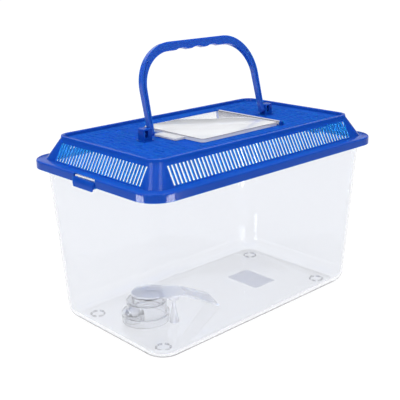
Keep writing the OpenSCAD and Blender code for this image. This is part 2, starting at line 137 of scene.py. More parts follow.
# %% Make the lights
def soft_box(name, place, target, width, height, power, lights_all=True):
    """Add a rectangular light that points at a target, or a card that only shows in gloss."""
    data = bpy.data.lights.new(name, "AREA")
    data.shape = "RECTANGLE"
    data.size, data.size_y, data.energy = width, height, power
    lamp = bpy.data.objects.new(name, data)
    lamp.location = Vector(place)
    lamp.rotation_euler = (Vector(target) - Vector(place)).to_track_quat("-Z", "Y").to_euler()
    lamp.visible_camera, lamp.visible_diffuse = False, lights_all
    scene.collection.objects.link(lamp)


middle = Vector((0, 0, 0.12))
near_corner = Vector((-0.14, -0.08, 0.165))


def around(turn, rise, distance):
    """A point at a turn from +X and a rise above level, seen from the lid's near corner."""
    turn, rise = math.radians(turn), math.radians(rise)
    return near_corner + distance * Vector((math.cos(turn) * math.cos(rise),
                                            math.sin(turn) * math.cos(rise), math.sin(rise)))


soft_box("overhead", (0.0, 0.1, 1.3), middle, 1.6, 1.4, 5)
soft_box("left_strip", around(177, 42, 1.0), near_corner, 0.30, 0.5, 3.0)
soft_box("right_strip", around(-96, 44, 1.0), near_corner, 0.26, 0.5, 2.6)
soft_box("backdrop", (0.82, 0.88, 0.72), middle, 2.4, 0.58, 3.6, False)
soft_box("left_card", around(158, -14, 0.42), near_corner, 0.26, 0.12, 3.2, False)
soft_box("right_card", around(-71, -14, 0.42), near_corner, 0.26, 0.12, 3.2, False)

# %% [markdown]
# The room itself is a sky of greys that changes with height. It is bright overhead and dim a
# little above the horizon, so that flat blue faces don't mirror it and lose their colour. At the
# horizon and below it the room is bright again, like the table.

# %% Make the room
world = bpy.data.worlds.new("room")
world.use_nodes = True
tree = world.node_tree
heading = add_node(tree, "ShaderNodeTexCoord")
split = add_node(tree, "ShaderNodeSeparateXYZ")
sky = add_node(tree, "ShaderNodeValToRGB")
stops = sky.color_ramp.elements
room_glow = ((0.0, 0.8), (0.02, 0.8), (0.04, 0.08), (0.4, 0.08), (0.85, 1.0))
for height, glow in room_glow:
    stop = stops[0] if height == 0 else stops.new(height)
    stop.color = (0.97 * glow, 0.98 * glow, glow, 1)
stops.remove(stops[-1])
tree.links.new(heading.outputs["Generated"], split.inputs["Vector"])
tree.links.new(split.outputs["Z"], sky.inputs["Fac"])
tree.links.new(sky.outputs["Color"], tree.nodes["Background"].inputs["Color"])
tree.nodes["Background"].inputs["Strength"].default_value = 1.3
scene.world = world
scene.view_settings.view_transform = "Standard"
print("the room has", len(room_glow), "heights")

# %% [markdown]
# ## Blue moulded plastic
# The lid and handle are injection moulded in one solid colour. Real mouldings of this kind aren't
# mirror smooth: the steel tool leaves a fine satin skin, and the colour is a touch darker where
# the plastic flowed last. A fine noise drives a faint bump, and a coarse one moves the colour and
# the roughness very little. The reflection is kept low, so that the blue stays deep. Where the
# lid is thin, in its slots and inside, light comes through it and the blue looks brighter; that
# light is painted in, as a lighter blue for those faces. The handle's blue is painted lighter
# too, to stand in for the highlights along its legs.

# %% Make the blue plastic
def blue_plastic(name, deep, light, rough, grain, shine):
    """Solid blue plastic: colour drift, satin roughness and a fine moulded grain."""
    material, tree, shader = new_material(name)
    link = tree.links.new
    place = add_node(tree, "ShaderNodeTexCoord")
    drift = add_node(tree, "ShaderNodeTexNoise", Scale=14.0, Detail=3.0)
    colours = add_node(tree, "ShaderNodeMix")
    colours.data_type = "RGBA"
    colours.inputs[6].default_value = (*deep, 1)
    colours.inputs[7].default_value = (*light, 1)
    fine = add_node(tree, "ShaderNodeTexNoise", Scale=900.0, Detail=4.0)
    gloss = add_node(tree, "ShaderNodeMapRange", To_Min=rough[0], To_Max=rough[1])
    bump = add_node(tree, "ShaderNodeBump", Strength=grain, Distance=0.0002)
    link(place.outputs["Object"], drift.inputs["Vector"])
    link(place.outputs["Object"], fine.inputs["Vector"])
    link(drift.outputs["Fac"], colours.inputs[0])
    link(colours.outputs[2], shader.inputs["Base Color"])
    link(drift.outputs["Fac"], gloss.inputs["Value"])
    link(gloss.outputs["Result"], shader.inputs["Roughness"])
    link(fine.outputs["Fac"], bump.inputs["Height"])
    link(bump.outputs["Normal"], shader.inputs["Normal"])
    shader.inputs["Specular IOR Level"].default_value = shine
    shader.inputs["Subsurface Weight"].default_value = 0.6
    shader.inputs["Subsurface Radius"].default_value = (0.2, 0.8, 1.0)
    shader.inputs["Subsurface Scale"].default_value = 0.006
    return material


lid_deep, lid_light = (0.0045, 0.058, 0.370), (0.006, 0.070, 0.430)
lid_blue = blue_plastic("blue lid plastic", lid_deep, lid_light,
                        rough=(0.10, 0.15), grain=0.06, shine=0.12)
# Painted light: a lighter blue for slot walls and inner faces, standing in for light through thin
# plastic.
through_lit_blue = blue_plastic("painted through-light blue plastic", (0.02, 0.21, 0.68), (0.03, 0.25, 0.76),
                         rough=(0.35, 0.45), grain=0.06, shine=0.1)
# The handle gets a lighter copy of the lid's blue, painted lighter to stand in for the highlights
# along its legs.
handle_blue_painted_lighter = blue_plastic("blue handle plastic painted lighter", (0.014, 0.086, 0.47), (0.019, 0.098, 0.53),
                           rough=(0.14, 0.22), grain=0.08, shine=0.5)
print("made", lid_blue.name, "and", through_lit_blue.name, "and", handle_blue_painted_lighter.name)

# %% [markdown]
# The flat top of the lid isn't as smooth as its sides. The mould leaves a rough skin on it, which
# kills its shine. Noise stretched along one side and cut off low gives fine short scratches, and
# they are pressed into the same blue with a bump. The larger strokes are real shapes and come
# later, with the lid.

# %% Make the rough top
top_blue = blue_plastic("blue rough plastic", lid_deep, lid_light,
                        rough=(0.6, 0.75), grain=0.2, shine=0.02)
tree = top_blue.node_tree
place = next(n for n in tree.nodes if n.bl_idname == "ShaderNodeTexCoord")
grain = next(n for n in tree.nodes if n.bl_idname == "ShaderNodeBump")
stretch = add_node(tree, "ShaderNodeMapping", Scale=(330.0, 60.0, 1.0))
scratches = add_node(tree, "ShaderNodeTexNoise", Scale=1.0, Detail=1.0)
cut_off = add_node(tree, "ShaderNodeMapRange", From_Min=0.5, From_Max=0.62)
pressed = add_node(tree, "ShaderNodeBump", Strength=1.0, Distance=0.0009)
tree.links.new(place.outputs["Object"], stretch.inputs["Vector"])
tree.links.new(stretch.outputs["Vector"], scratches.inputs["Vector"])
tree.links.new(scratches.outputs["Fac"], cut_off.inputs["Value"])
tree.links.new(cut_off.outputs["Result"], pressed.inputs["Height"])
tree.links.new(pressed.outputs["Normal"], grain.inputs["Normal"])
print("made", top_blue.name)

# %% [markdown]
# ## Clear plastic
# The tank, door and island are clear polystyrene. Glass-like transmission through walls of their
# true thickness gives the bright and dark lines along edges and corners by itself. Clear mouldings
# are never perfect: a slow ripple in the surface bends what lies behind, and a little haze takes
# the edge off reflections. The colour is a grey-white with a trace of blue.
#
# The same recipe with other numbers makes the milky door, the painted dark line round its top,
# the rough feet, and a painted brightening of the curved lower edge of the tank, which is given
# a lighter colour and bends light less so that it looks bright. The ramp lets light straight
# through by its alpha instead, because a light path has too many clear walls to cross down there
# and the ramp would go dark.

# %% Make the clear plastic
def clear_plastic(name, colour, haze, ripple, ripple_scale, clearness, bend=1.5):
    """Clear moulded plastic with a slow ripple and a little haze."""
    material, tree, shader = new_material(name)
    link = tree.links.new
    place = add_node(tree, "ShaderNodeTexCoord")
    wave = add_node(tree, "ShaderNodeTexNoise", Scale=ripple_scale, Detail=2.0)
    gloss = add_node(tree, "ShaderNodeMapRange", To_Min=haze[0], To_Max=haze[1])
    bump = add_node(tree, "ShaderNodeBump", Strength=ripple, Distance=0.001)
    link(place.outputs["Object"], wave.inputs["Vector"])
    link(wave.outputs["Fac"], gloss.inputs["Value"])
    link(gloss.outputs["Result"], shader.inputs["Roughness"])
    link(wave.outputs["Fac"], bump.inputs["Height"])
    link(bump.outputs["Normal"], shader.inputs["Normal"])
    shader.inputs["Base Color"].default_value = colour
    shader.inputs["Transmission Weight"].default_value = clearness
    shader.inputs["IOR"].default_value = bend
    return material


tank_clear = clear_plastic("clear tank plastic", (0.895, 0.905, 0.93, 1), haze=(0.0, 0.05),
                           ripple=0.02, ripple_scale=18.0, clearness=0.99, bend=1.4)
# Painted highlight: a lighter copy of the tank plastic that bends light less, for the lower edge.
painted_bright_edge_clear = clear_plastic("painted bright edge plastic", (0.915, 0.925, 0.95, 1), haze=(0.0, 0.05),
                           ripple=0.02, ripple_scale=18.0, clearness=1.0, bend=1.3)
foot_clear = clear_plastic("rough foot plastic", (0.80, 0.80, 0.87, 1), haze=(0.05, 0.35),
                           ripple=0.9, ripple_scale=420.0, clearness=0.85)
door_clear = clear_plastic("clear door plastic", (0.96, 0.965, 0.98, 1), haze=(0.02, 0.10),
                           ripple=0.06, ripple_scale=30.0, clearness=0.5)
# Painted shade: a dark plastic for the door's top slope, standing in for the dark line that edge
# shows.
painted_dark_edge = clear_plastic("painted dark door edge", (0.10, 0.09, 0.12, 1), haze=(0.2, 0.3),
                          ripple=0.1, ripple_scale=200.0, clearness=0.1)
island_clear = clear_plastic("clear island plastic", (0.975, 0.98, 0.998, 1), haze=(0.0, 0.04),
                             ripple=0.30, ripple_scale=90.0, clearness=0.93)
ramp_clear = clear_plastic("hazy ramp plastic", (0.90, 0.905, 0.96, 1), haze=(0.10, 0.20),
                           ripple=0.25, ripple_scale=90.0, clearness=0.0)
ramp_clear.node_tree.nodes["Principled BSDF"].inputs["Alpha"].default_value = 0.33
print("made seven clear plastics")

# %% [markdown]
# ## Tools for building pieces
# Most of the keeper is a rounded rectangle that changes size as it rises. A stack of such rings,
# bridged into faces, is called a loft: it is quick, and it gives even quads that shade smoothly.
# A lofted stack of circles is as good as a lathe, and a flat outline drawn up is a loft too.

# %% Rings, lofts and rods
corner_steps = 18


def rounded_ring(half_x, half_y, radius, z, steps=corner_steps, centre=(0, 0)):
    """Points of a rounded rectangle at height z, anticlockwise, in mm."""
    ring = []
    for quarter, (sx, sy) in enumerate(((1, 1), (-1, 1), (-1, -1), (1, -1))):
        for i in range(steps + 1):
            a = math.radians(90 * (quarter + i / steps))
            ring.append((centre[0] + sx * (half_x - radius) + radius * math.cos(a),
                         centre[1] + sy * (half_y - radius) + radius * math.sin(a), z))
    return ring


def circle_ring(radius, z, centre=(0, 0), steps=48):
    """Points of a circle at height z, anticlockwise, in mm."""
    return [(centre[0] + radius * math.cos(math.tau * i / steps),
             centre[1] + radius * math.sin(math.tau * i / steps), z) for i in range(steps)]


def loft(rings, mesh=None):
    """Bridge rings of equal length into one closed surface, with a cap on each end."""
    mesh = mesh or bmesh.new()
    rows = [[mesh.verts.new(Vector(p) * mm) for p in ring] for ring in rings]
    faces = [mesh.faces.new(rows[0]), mesh.faces.new(rows[-1])]
    for low, high in zip(rows, rows[1:]):
        for i in range(len(low)):
            j = (i + 1) % len(low)
            faces.append(mesh.faces.new((low[i], low[j], high[j], high[i])))
    bmesh.ops.recalc_face_normals(mesh, faces=faces)
    return mesh


def slab(points, low, high, mesh=None):
    """A flat outline in mm, drawn up from height low to height high."""
    return loft([[(x, y, low) for x, y in points], [(x, y, high) for x, y in points]], mesh)


def block(low, high, mesh=None):
    """A box between two corners in mm, to cut with or to build up from."""
    (x0, y0, z0), (x1, y1, z1) = low, high
    return slab([(x0, y0), (x1, y0), (x1, y1), (x0, y1)], z0, z1, mesh)


def turned(mesh, matrix):
    """Turn or move everything in a mesh."""
    bmesh.ops.transform(mesh, matrix=matrix, verts=mesh.verts)
    return mesh


def rod(start, end, radius, steps=40):
    """A round rod between two points in mm."""
    start, end = Vector(start), Vector(end)
    turn = (end - start).to_track_quat("Z", "Y").to_matrix()
    rings = [[tuple(at + turn @ Vector((radius * math.cos(math.tau * i / steps),
                                        radius * math.sin(math.tau * i / steps), 0)))
              for i in range(steps)] for at in (start, end)]
    return loft(rings)


# %% [markdown]
# The few holes and joined-on parts are cut or added with a boolean. Each piece then gets a bevel,
# because no moulded edge is razor sharp and the bevel is what catches the light. At that point it
# is also set on its body, so that it moves with its joint.

# %% Pieces, booleans and soft edges
def to_object(name, mesh):
    """Turn a working mesh into an object in the scene."""
    data = bpy.data.meshes.new(name)
    mesh.to_mesh(data)
    mesh.free()
    thing = bpy.data.objects.new(name, data)
    scene.collection.objects.link(thing)
    return thing


def combine(thing, mesh, operation):
    """Cut a mesh from a piece, or join it on, and keep the result as plain mesh."""
    tool = to_object("tool", mesh)
    step = thing.modifiers.new("step", "BOOLEAN")
    step.operation, step.object, step.solver = operation, tool, "EXACT"
    result = bpy.data.meshes.new_from_object(
        thing.evaluated_get(bpy.context.evaluated_depsgraph_get()))
    thing.modifiers.clear()
    thing.data = result
    bpy.data.objects.remove(tool)


def dress(thing, body, node, material, edge, sharp=32, segments=2):
    """Give a piece its finish, soft edges and smooth shading, and set it on its body."""
    thing.data.materials.clear()
    thing.data.materials.append(material)
    work = bmesh.new()
    work.from_mesh(thing.data)
    for face in work.faces:
        face.smooth = True
    for line in work.edges:
        line.smooth = line.calc_face_angle(0) < math.radians(sharp)
    work.to_mesh(thing.data)
    work.free()
    if edge:
        soften = thing.modifiers.new("soft edges", "BEVEL")
        soften.width, soften.segments = edge * mm, segments
        soften.limit_method, soften.angle_limit = "ANGLE", math.radians(sharp)
        soften.harden_normals = True
    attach(thing, body)
    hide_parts(node)
    print(f"{thing.name}: {len(thing.data.polygons)} faces before its soft edges")


def count_by_finish(thing):
    """How many faces of a piece have each of its materials."""
    finishes = [face.material_index for face in thing.data.polygons]
    return [finishes.count(k) for k in range(len(thing.data.materials))]


# %% [markdown]
# ## The tank
# The tank is one clear moulding. Its walls lean in towards the floor, because a mould can only
# let go of a tapered box, and the floor curves up into them. At the mouth the wall turns out into
# a flange with a short lip turned down, which makes the rim stiff and gives the lid something to
# hold. The sizes below are read from the solid model where it has them.

# %% Build the tank
tank_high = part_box("tank")[1]
flange_half_x, flange_half_y = tank_high.x / mm, tank_high.y / mm
rim_z = tank_high.z / mm
base_z = 1.0
flange_width = 4.4
draft = 8.0
tank_wall, tank_floor = 1.8, 2.2
wall_corner, flange_corner = 24.0, 20.4
foot_curve, curve_steps = 13.0, 18
lip_thick, lip_height, flange_thick = 1.2, 4.0, 2.2
floor_z = base_z + tank_floor
mouth_half_x, mouth_half_y = flange_half_x - flange_width, flange_half_y - flange_width


def wall_ring(z, inset, corner):
    """A ring on the leaning wall at height z, brought in by inset."""
    lean = draft * (rim_z - z) / (rim_z - base_z)
    return rounded_ring(mouth_half_x - lean - inset, mouth_half_y - lean - inset, corner, z)


def floor_curve(z, radius, inset):
    """The rings of the curve from the floor up to the wall."""
    rings = []
    for i in range(curve_steps):
        a = math.radians(90 * i / curve_steps)
        drawn_in = inset + radius * (1 - math.sin(a))
        rings.append(wall_ring(z + radius * (1 - math.cos(a)), drawn_in, wall_corner - drawn_in))
    return rings


inner_curve = foot_curve - tank_floor
outside = floor_curve(base_z, foot_curve, 0) + [
    wall_ring(base_z + foot_curve, 0, wall_corner),
    wall_ring(rim_z - flange_thick, 0, wall_corner)]
rim = [
    rounded_ring(flange_half_x - lip_thick, flange_half_y - lip_thick,
                 flange_corner - lip_thick, rim_z - flange_thick),
    rounded_ring(flange_half_x - lip_thick, flange_half_y - lip_thick,
                 flange_corner - lip_thick, rim_z - lip_height),
    rounded_ring(flange_half_x, flange_half_y, flange_corner, rim_z - lip_height),
    rounded_ring(flange_half_x, flange_half_y, flange_corner, rim_z)]
inside = [
    wall_ring(rim_z, tank_wall, wall_corner - tank_wall),
    wall_ring(floor_z + inner_curve, tank_wall, wall_corner - tank_wall)]
inside += reversed(floor_curve(floor_z, inner_curve, tank_wall))
tank = to_object("tank_shell", loft(outside + rim + inside))

# %% [markdown]
# Four small rings under the floor keep it off the table, so that grit doesn't scratch the base.
# Each ring is broken into short arcs, so that water can't stay trapped inside it. An arc is a
# small profile swept round the middle of its ring, and a boolean joins all the arcs of one foot
# to the floor. In a clear moulding they show as bright broken circles. Once the tank is dressed,
# the faces of the feet get the rough plastic, and the outside of its curved lower edge gets a
# painted brightening: a lighter plastic that bends light less, so that the edge looks bright.

# %% Add the ring feet
foot_x, foot_y = 109.0, 49.0
foot_outer, foot_inner = 7.5, 5.7
foot_arcs, foot_gap, arc_steps = 6, math.radians(22), 6
foot_chamfer, foot_sunk = 0.3, 0.4
foot_profile = ((foot_outer - foot_chamfer, 0.0), (foot_outer, foot_chamfer),
                (foot_outer, base_z + foot_sunk), (foot_inner, base_z + foot_sunk),
                (foot_inner, 0.0))
for sx in (-1, 1):
    for sy in (-1, 1):
        arcs = bmesh.new()
        for k in range(foot_arcs):
            first = math.tau * k / foot_arcs
            sweep = math.tau / foot_arcs - foot_gap
            loft([[(sx * foot_x + radius * math.cos(first + sweep * i / arc_steps),
                    sy * foot_y + radius * math.sin(first + sweep * i / arc_steps), z)
                   for radius, z in foot_profile] for i in range(arc_steps + 1)], arcs)
        combine(tank, arcs, "UNION")
dress(tank, "tank", "tank", tank_clear, 0.35)
tank.data.materials.append(foot_clear)
tank.data.materials.append(painted_bright_edge_clear)
foot_top, floor_slope = base_z - 0.05, -0.98
for face in tank.data.polygons:
    height = face.center.z / mm
    faces_out = Vector(face.center.xy).dot(Vector(face.normal.xy)) > 0
    if height < foot_top:
        face.material_index = 1
    elif height < base_z + foot_curve and faces_out and face.normal.z > floor_slope:
        face.material_index = 2
print("faces of the walls, feet and lower edge:", count_by_finish(tank))

# %% [markdown]
# ## The label under the floor
# A small plain film label is stuck under the floor and shows through it as a pale grey rectangle.
# The solid model already has the right thin plate, so it stays, and only gets a paper finish: a
# slightly uneven white with a fine fibre grain. Little light reaches it between the floor and the
# table, so light is let into the film, and a very faint painted glow keeps it from going dark.

# %% Finish the label
label_material, tree, shader = new_material("label film")
place = add_node(tree, "ShaderNodeTexCoord")
fibres = add_node(tree, "ShaderNodeTexNoise", Scale=700.0, Detail=6.0)
whites = add_node(tree, "ShaderNodeMix")
whites.data_type = "RGBA"
whites.inputs[6].default_value = (0.96, 0.965, 1.0, 1)
whites.inputs[7].default_value = (0.99, 0.99, 1.0, 1)
fibre_bump = add_node(tree, "ShaderNodeBump", Strength=0.2, Distance=0.0001)
tree.links.new(place.outputs["Object"], fibres.inputs["Vector"])
tree.links.new(fibres.outputs["Fac"], whites.inputs[0])
tree.links.new(whites.outputs[2], shader.inputs["Base Color"])
tree.links.new(fibres.outputs["Fac"], fibre_bump.inputs["Height"])
tree.links.new(fibre_bump.outputs["Normal"], shader.inputs["Normal"])
shader.inputs["Roughness"].default_value = 0.6
shader.inputs["Subsurface Weight"].default_value = 1.0
shader.inputs["Subsurface Radius"].default_value = (1, 1, 1)
shader.inputs["Subsurface Scale"].default_value = 0.002
# Painted glow: a faint emission stands in for the light the film would take from the table.
shader.inputs["Emission Color"].default_value = (0.7, 0.75, 1.0, 1)
shader.inputs["Emission Strength"].default_value = 0.12
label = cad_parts["base_label"]
label.data.materials.clear()
label.data.materials.append(label_material)
label_low, label_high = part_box("base_label")
print("label:", [round(v / mm, 1) for v in label_high - label_low], "mm")

# %% [markdown]
# ## The lid
# The lid is a shallow cap: a skirt that grips the rim, a flat shoulder, four leaning faces full of
# slots for air, and a flat top panel inside a low ridge. One loft goes down the inside of the
# skirt, up the outside, over the shoulder and the leaning faces, and across the ridge to the
# panel. The rest is cut out of it or joined on.

# %% Loft the lid's shell
lid_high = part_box("lid")[1]
lid_half_y = lid_high.y / mm
lid_half_x = 150.0
lid_wall = 2.0
skirt_z = 153.5
shoulder_z = rim_z + lid_wall
panel_z = 180.0
skirt_corner = 23.0
shoulder_width, louvre_lean = 9.4, 10.2
louvre_foot_corner, louvre_top_corner = 14.0, 13.5
panel_inset, panel_corner = shoulder_width + louvre_lean, 13.5
slope = louvre_lean / (panel_z - shoulder_z)


def lid_ring(inset, corner, z):
    """A ring of the lid, brought in from the skirt's face."""
    return rounded_ring(lid_half_x - inset, lid_half_y - inset, corner, z)


round_over, round_steps = 1.5, 4
shoulder_edge = []
for i in range(1, round_steps + 1):
    a = math.radians(90 * i / round_steps)
    drawn_in = round_over * (1 - math.cos(a))
    shoulder_edge.append(lid_ring(drawn_in, skirt_corner - drawn_in,
                                  shoulder_z - round_over * (1 - math.sin(a))))
ridge_profile = ((0, 0), (0.3, 0.5), (0.7, 2.4), (0.9, 2.8), (1.4, 3.0), (3.0, 3.0), (3.6, 2.7),
                 (4.0, 2.0), (4.5, 0.4), (4.7, 0))
lid = to_object("lid_shell", loft(
    [lid_ring(lid_wall, skirt_corner - lid_wall, rim_z),
     lid_ring(lid_wall, skirt_corner - lid_wall, skirt_z),
     lid_ring(0, skirt_corner, skirt_z),
     lid_ring(0, skirt_corner, shoulder_z - round_over)]
    + shoulder_edge
    + [lid_ring(shoulder_width, louvre_foot_corner, shoulder_z),
       *[lid_ring(panel_inset + d, panel_corner - d, panel_z + rise)
         for d, rise in ridge_profile]]))

# %% [markdown]
# The loft above leaves the lid solid below the panel, so the hollow is cut out of it: a block that
# follows the inside of the leaning faces and leaves an even wall there.

# %% Hollow the lid
louvre_wall = 1.5
inner_shift = louvre_wall * math.hypot(1, slope) - slope * lid_wall
hollow = loft([
    lid_ring(lid_wall, skirt_corner - lid_wall, rim_z - 0.01),
    lid_ring(shoulder_width + inner_shift, louvre_foot_corner - 1, rim_z),
    lid_ring(shoulder_width + louvre_lean + inner_shift, louvre_top_corner - 1,
             panel_z - lid_wall)])
combine(lid, hollow, "DIFFERENCE")
print("the leaning faces are", louvre_wall, "mm thick")

# %% [markdown]
# Each slot is cut by a thin slanted blade, and the blades of one face stand at an even pitch, as
# the ribs of the real mould do. The feeding hole goes through the panel under the door. A latch
# window is cut with one profile, which goes in through the skirt and leaves a notch in the
# shoulder above. All the cutters stand clear of each other, because a boolean can't tell inside
# from outside where two of them overlap.

# %% Cut the slots, the feeding hole and the latch windows
slot_pitch, slot_width = 4.22, 2.8
slot_low, slot_high = shoulder_z + 0.9, panel_z - 2.6
square_corners = ((-1, -1), (1, -1), (1, 1), (-1, 1))


def blades(half, run, shift, turn, mesh):
    """The cutters of one face and of the face across from it."""
    count = int(run / slot_pitch) + 1
    at_low = half - shoulder_width - slope * (slot_low - shoulder_z)
    at_high = half - shoulder_width - slope * (slot_high - shoulder_z)
    reach = 2 * lid_wall
    for side in (0, 180):
        spin = Matrix.Rotation(math.radians(turn + side), 3, "Z")
        for i in range(count):
            middle_x = (i - (count - 1) / 2) * slot_pitch + (-shift if side else shift)
            loft([[tuple(spin @ Vector((middle_x + cx * slot_width / 2, y + cy * reach, z)))
                   for cx, cy in square_corners]
                  for z, y in ((slot_low, at_low), (slot_high, at_high))], mesh)
    return count


cutters = bmesh.new()
slot_run_inset = shoulder_width + louvre_lean + louvre_top_corner - 1.0
long_shift, short_shift = -1.5, -3.0
long_count = blades(lid_half_y, 2 * (lid_half_x - slot_run_inset), long_shift, 0, cutters)
short_count = blades(lid_half_x, 2 * (lid_half_y - slot_run_inset), short_shift, 90, cutters)
print("slots on a long face:", long_count, "and on a short face:", short_count)

hole_half_x, hole_half_y, hole_corner, hole_middle = 48.5, 39.5, 3.25, (-1.0, -3.0)
loft([rounded_ring(hole_half_x, hole_half_y, hole_corner, z, centre=hole_middle)
      for z in (panel_z - 4, panel_z + 1)], cutters)
latch_half, window_in, notch = 15.5, 5, 1.4
window_low, roof_z = shoulder_z - 3.2, shoulder_z - 0.6
window = [(1, window_low), (1, shoulder_z + 1), (-notch, shoulder_z + 1), (-notch, roof_z),
          (-window_in, roof_z), (-window_in, window_low)]
for side in (-1, 1):
    loft([[(side * (lid_half_x + x), y, z) for x, z in window]
          for y in (-latch_half, latch_half)], cutters)
combine(lid, cutters, "DIFFERENCE")

# %% [markdown]
# The small parts that stand on the lid are moulded with it, so they are built as plain shapes and
# joined on. Under each latch window hangs a flared tab, narrower towards its end, with a bead
# inside that snaps under the tank's lip. One profile, drawn from side to side, gives all of it.

# %% Add the latch tabs
tab_drop, tab_flare, tab_thick, bead, tab_taper = 3.4, 2.4, 1.6, 0.3, 2.2
bead_z = rim_z - lip_height - 0.6
tab_profile = [(-0.5, window_low), (0.5, window_low), (tab_flare, skirt_z),
               (tab_flare, skirt_z - tab_drop), (tab_flare - tab_thick, skirt_z - tab_drop),
               (tab_flare - tab_thick, skirt_z - tab_thick), (-lid_wall, skirt_z - tab_thick),
               (-lid_wall - bead, bead_z - lid_wall), (-lid_wall - bead, bead_z - lid_wall / 2),
               (-lid_wall + 0.5, bead_z)]
narrowing = tab_taper / (window_low - skirt_z + tab_drop)
for side in (0, 180):
    tab = loft([[(lid_half_x + x, side_y * (latch_half - narrowing * (window_low - z)), z)
                 for x, z in tab_profile] for side_y in (-1, 1)])
    combine(lid, turned(tab, Matrix.Rotation(math.radians(side), 4, "Z")), "UNION")
print("each tab reaches", tab_drop, "mm below the skirt")

# %% [markdown]
# For each foot of the handle, a lug stands on a low plinth. Two of its sides are hollowed, as
# moulders do so that thick plastic doesn't sink as it cools. The hole for the pin is bored from
# the handle's side and stops short of the lug's outer face, so it can't be seen from outside.

# %% Add the lugs
lug_in, lug_thick, lug_width, lug_tall, lug_corner = 76.2, 9.6, 9.0, 11.5, 0.6
lug_side, pocket_depth, pocket_low, pocket_high = 1.1, 2.8, 3.5, 10
pivot_z, pin_end, lug_bore = panel_z + 6.0, 84.8, 2.25
lug_profile = ((0, -0.5), (0, lug_tall - 0.8), (0.25, lug_tall - 0.22), (0.8, lug_tall))
plinth_out, plinth_rise = 1, 1
for side in (0, 180):
    half_turn = Matrix.Rotation(math.radians(side), 4, "Z")
    lug = loft([rounded_ring(lug_thick / 2 - inset, lug_width / 2 - inset, lug_corner,
                             panel_z + z, 4, (lug_in + lug_thick / 2, 0))
                for inset, z in lug_profile])
    combine(lid, turned(lug, half_turn), "UNION")
    plinth = block((lug_in - plinth_out, -lug_width / 2 - plinth_out, panel_z - 0.5),
                   (lug_in + lug_thick + plinth_out, lug_width / 2 + plinth_out,
                    panel_z + plinth_rise))
    combine(lid, turned(plinth, half_turn), "UNION")
    pockets = bmesh.new()
    for sy, x0 in ((-1, lug_in + lug_side), (1, lug_in + lug_thick / 2)):
        x1 = x0 + lug_thick / 2 - lug_side
        block((x0, sy * lug_width / 2 - pocket_depth, panel_z + pocket_low),
              (x1, sy * lug_width / 2 + pocket_depth, panel_z + pocket_high), pockets)
    combine(lid, turned(pockets, half_turn), "DIFFERENCE")
    bore = rod((lug_in - 1, 0, pivot_z), (pin_end, 0, pivot_z), lug_bore)
    combine(lid, turned(bore, half_turn), "DIFFERENCE")
print("the handle turns", round(pivot_z - panel_z, 1), "mm above the panel")

# %% [markdown]
# Two ears hold the pins of the feeding door. Each is a thin plate with a round head, and its hole
# is bored from the door's side only.

# %% Add the hinge ears
hinge_x, hinge_z = 51.5, panel_z + 2.2
ear_radius, ear_half, ear_bore, ear_steps = 2.05, 1.2, 1.25, 20
bore_inward, bore_outward = 2.5, 0.7
for y, way in ((-46.8, -1), (40.8, 1)):
    ear = [(hinge_x + ear_radius * math.cos(a), hinge_z + ear_radius * math.sin(a))
           for a in (math.radians(180 * i / ear_steps) for i in range(ear_steps + 1))]
    ear += [(hinge_x - ear_radius, panel_z - 0.5), (hinge_x + ear_radius, panel_z - 0.5)]
    combine(lid, loft([[(x, y + d, z) for x, z in ear] for d in (-ear_half, ear_half)]), "UNION")
    bore = rod((hinge_x, y - way * bore_inward, hinge_z),
               (hinge_x, y + way * bore_outward, hinge_z), ear_bore)
    combine(lid, bore, "DIFFERENCE")
print("the door turns", round(hinge_z - panel_z, 1), "mm above the panel")

# %% [markdown]
# The top panel carries low raised strokes that run across it, in rows, around the door and the
# lugs. Their sides slope, so that each catches the light along one edge. No two neighbours are
# quite alike: one wave sets their lengths and another shifts them a little. They are real shapes
# and not a bump, so that they still stand up where the panel is seen at a low angle.

# %% Raise the strokes on the panel
stroke_column, stroke_row, columns_each_way, rows = 6.0, 16.0, 19, 8
stroke_foot, stroke_ridge, stroke_rise, stroke_sunk = 0.9, 0.35, 0.45, 0.3
stroke_profile = ((stroke_foot, -stroke_sunk), (stroke_foot, -0.01), (stroke_ridge, stroke_rise))
door_patch_x, door_patch_y = (-68, 58), 50
lug_patch_x, lug_patch_y = (72, 90), 12
raised = bmesh.new()
stroke_count = 0
for k in range(-columns_each_way, columns_each_way + 1):
    for j in range(rows):
        x, y = k * stroke_column, (j - (rows - 1) / 2) * stroke_row
        by_door = door_patch_x[0] < x < door_patch_x[1] and abs(y) < door_patch_y
        by_lug = lug_patch_x[0] < abs(x) < lug_patch_x[1] and abs(y) < lug_patch_y
        if by_door or by_lug:
            continue
        y += math.sin(1.3 * k + 2.1 * j)
        half_long = 5.0 + 1.4 * math.sin(2.4 * k + 1.7 * j)
        loft([[(x + cx * half, y + cy * (half_long + half), panel_z + z)
               for cx, cy in square_corners] for half, z in stroke_profile], raised)
        stroke_count += 1
combine(lid, raised, "UNION")
print("strokes:", stroke_count)

# %% [markdown]
# The lid is complete now. It gets its soft edges and its three blues: the plain one, the rough one
# on what faces up from the panel, and the one painted lighter in the slots and on the thin walls
# there, for the light that comes through them.

# %% Dress the lid
ridge_width, level_slope, stroke_reach = 4.6, 0.3, stroke_rise + 0.05
panel_x, panel_y = lid_half_x - panel_inset - ridge_width, lid_half_y - panel_inset - ridge_width
dress(lid, "lid", "lid", lid_blue, 0.2)
lid.data.materials.append(top_blue)
lid.data.materials.append(through_lit_blue)
for face in lid.data.polygons:
    height = face.center.z / mm
    on_panel = abs(face.center.x / mm) < panel_x and abs(face.center.y / mm) < panel_y
    if on_panel and face.normal.z > level_slope and abs(height - panel_z) < stroke_reach:
        face.material_index = 1
    # Slot walls and inner faces get the blue painted lighter for the light through them.
    elif face.normal.z < level_slope and shoulder_z + 0.5 < height < panel_z - 1:
        face.material_index = 2
print("faces in each blue:", count_by_finish(lid))

